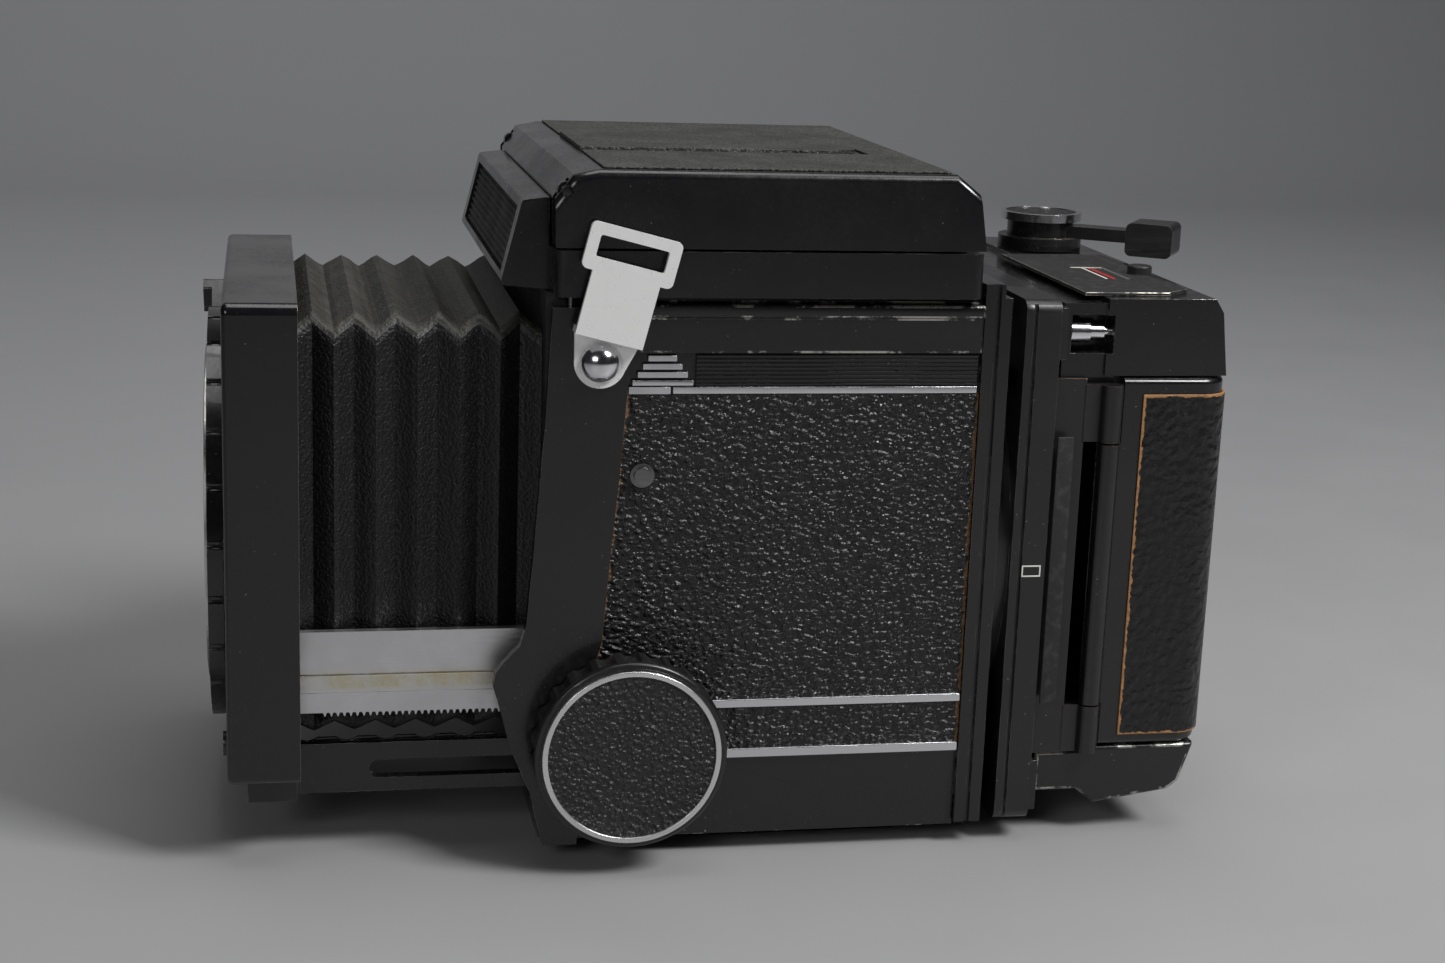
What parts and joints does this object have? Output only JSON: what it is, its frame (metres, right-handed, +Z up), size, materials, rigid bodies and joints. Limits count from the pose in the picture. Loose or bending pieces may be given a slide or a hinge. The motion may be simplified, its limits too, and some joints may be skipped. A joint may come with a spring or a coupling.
{
  "type": "folding camera",
  "caption": "Bellows single-lens reflex camera with rack focusing, folding waist-level hood, reflex mirror and a revolving hinged roll-film holder; no lens fitted.",
  "frame": {"origin": "mouth of the tripod socket, in the middle of the bottom plate", "axes": "-Z out of the tripod socket, -Y towards the lens, +Y towards the film holder, +X towards the viewer's left, +Z up to the finder"},
  "size_m": [0.123, 0.2177, 0.139],
  "materials": {
    "black_enamel": "gloss black enamel",
    "matt_black": "matt black interior paint",
    "leatherette": "coarse grained",
    "cover_hide": "fine grained",
    "rail_metal": "satin",
    "bright_chrome": "polished",
    "satin_steel": "satin",
    "bellows_cloth": "pleated",
    "knob_black": "satin black",
    "ground_glass": "ground",
    "lens_glass": "clear",
    "silvered": "polished",
    "black_plastic": "satin"
  },
  "bodies": {
    "body": {"base_casting": "black_enamel", "tripod_plate": "black_enamel", "tripod_bush": "satin_steel", "side_panel_left": "black_enamel", "side_panel_right": "black_enamel", "front_arms": "black_enamel", "side_leathers": "leatherette", "chrome_trims": "bright_chrome", "ribbed_strips": "black_enamel", "top_deck": "black_enamel", "focusing_screen": "ground_glass", "front_frame": "matt_black", "mirror_box": "matt_black", "nameplate_housing": "black_enamel", "nameplate": "matt_black", "rear_frame": "black_enamel", "finder_base": "black_enamel", "strap_studs": "bright_chrome", "side_pin": "bright_chrome", "case_screws": "satin_steel", "bellows": "bellows_cloth"},
    "front_standard": {"standard_shell": "black_enamel", "throat_ring": "satin_steel", "focus_rails": "rail_metal", "focus_racks": "rail_metal", "lower_bars": "black_enamel"},
    "lock_ring": {"lock_ring": "black_enamel"},
    "focus_shaft": {"focus_shaft": "satin_steel", "pinions": "satin_steel", "focus_knobs": "knob_black", "knob_rings": "rail_metal", "knob_inlays": "leatherette"},
    "finder_lid": {"lid_shell": "black_enamel", "lid_cover": "leatherette"},
    "flap_left": {"flap_left": "matt_black"},
    "flap_right": {"flap_right": "matt_black"},
    "flap_rear": {"flap_rear": "matt_black"},
    "magnifier": {"magnifier_frame": "matt_black", "magnifier_lens": "lens_glass"},
    "mirror": {"mirror_holder": "matt_black", "mirror_glass": "silvered"},
    "shutter_button": {"shutter_button": "satin_steel"},
    "cocking_lever": {"cocking_lever": "satin_steel"},
    "strap_lug_left": {"strap_lug_left": "satin_steel"},
    "strap_lug_right": {"strap_lug_right": "satin_steel"},
    "film_holder": {"adapter_frame": "black_enamel", "holder_frame": "black_enamel", "holder_cap_top": "black_enamel", "holder_cap_bottom": "black_enamel", "lock_pin": "bright_chrome", "pressure_plate": "satin_steel", "counter_plate": "matt_black"},
    "back_cover": {"back_cover": "black_enamel", "cover_leather": "cover_hide"},
    "wind_lever": {"wind_lever": "black_enamel", "wind_rim": "bright_chrome", "wind_inlay": "leatherette"},
    "take_up_spool": {"take_up_spool": "black_plastic"},
    "release_button": {"release_button": "black_plastic"}
  },
  "joints": [
    {"name": "focus_slide", "type": "slide", "parent": "body", "child": "front_standard", "axis": [0, 1, 0], "range_m": [0, 0.046], "deforming": ["bellows"]},
    {"name": "focus_turn", "type": "hinge", "parent": "body", "child": "focus_shaft", "pos_m": [0, -0.0242, 0.0253], "axis": [1, 0, 0], "range_deg": [-507, 0]},
    {"name": "lock_ring_turn", "type": "hinge", "parent": "front_standard", "child": "lock_ring", "pos_m": [0, -0.103, 0.0605], "axis": [0, 1, 0], "range_deg": [0, 35]},
    {"name": "lid_hinge", "type": "hinge", "parent": "body", "child": "finder_lid", "pos_m": [0, -0.038, 0.134], "axis": [1, 0, 0], "range_deg": [0, 90]},
    {"name": "flap_left_hinge", "type": "hinge", "parent": "body", "child": "flap_left", "pos_m": [0.049, 0.005, 0.1248], "axis": [0, 1, 0], "range_deg": [0, 90]},
    {"name": "flap_right_hinge", "type": "hinge", "parent": "body", "child": "flap_right", "pos_m": [-0.049, 0.005, 0.1248], "axis": [0, -1, 0], "range_deg": [0, 90]},
    {"name": "flap_rear_hinge", "type": "hinge", "parent": "body", "child": "flap_rear", "pos_m": [0, 0.0395, 0.1248], "axis": [-1, 0, 0], "range_deg": [0, 90]},
    {"name": "magnifier_hinge", "type": "hinge", "parent": "finder_lid", "child": "magnifier", "pos_m": [0, 0.0104, 0.1308], "axis": [1, 0, 0], "range_deg": [-90, 0]},
    {"name": "mirror_hinge", "type": "hinge", "parent": "body", "child": "mirror", "pos_m": [0, 0.039, 0.0975], "axis": [-1, 0, 0], "range_deg": [0, 45]},
    {"name": "shutter_press", "type": "slide", "parent": "body", "child": "shutter_button", "axis": [0, 1, 0], "range_m": [0, 0.0025], "stiffness_N_per_m": 300},
    {"name": "cocking_turn", "type": "hinge", "parent": "body", "child": "cocking_lever", "pos_m": [-0.052, 0.008, 0.062], "axis": [1, 0, 0], "range_deg": [0, 35], "stiffness_Nm_per_rad": 0.08},
    {"name": "strap_lug_left_turn", "type": "hinge", "parent": "body", "child": "strap_lug_left", "pos_m": [0.053, -0.0312, 0.1018], "axis": [1, 0, 0], "range_deg": [-35, 70]},
    {"name": "strap_lug_right_turn", "type": "hinge", "parent": "body", "child": "strap_lug_right", "pos_m": [-0.053, -0.0312, 0.1018], "axis": [1, 0, 0], "range_deg": [-35, 70]},
    {"name": "holder_rotation", "type": "hinge", "parent": "body", "child": "film_holder", "pos_m": [0, 0.052, 0.0605], "axis": [0, -1, 0], "range_deg": [0, 90]},
    {"name": "cover_hinge", "type": "hinge", "parent": "film_holder", "child": "back_cover", "pos_m": [0.0476, 0.0735, 0.0605], "axis": [0, 0, -1], "range_deg": [0, 100]},
    {"name": "wind_turn", "type": "hinge", "parent": "film_holder", "child": "wind_lever", "pos_m": [-0.028, 0.082, 0.116], "axis": [0, 0, 1], "range_deg": [0, 140], "stiffness_Nm_per_rad": 0.01},
    {"name": "spool_turn", "type": "hinge", "parent": "film_holder", "child": "take_up_spool", "pos_m": [-0.028, 0.082, 0.0585], "axis": [0, 0, 1], "range_deg": [0, 140]},
    {"name": "release_press", "type": "slide", "parent": "film_holder", "child": "release_button", "axis": [0, 0, -1], "range_m": [0, 0.0015], "stiffness_N_per_m": 200}
  ],
  "couplings": [
    {"joint": "focus_turn", "follows": "focus_slide", "rad_per_m": -192.31},
    {"joint": "flap_left_hinge", "follows": "lid_hinge", "ratio": 1},
    {"joint": "flap_right_hinge", "follows": "lid_hinge", "ratio": 1},
    {"joint": "flap_rear_hinge", "follows": "lid_hinge", "ratio": 1},
    {"joint": "magnifier_hinge", "follows": "lid_hinge", "ratio": -1},
    {"joint": "spool_turn", "follows": "wind_turn", "ratio": 1}
  ]
}
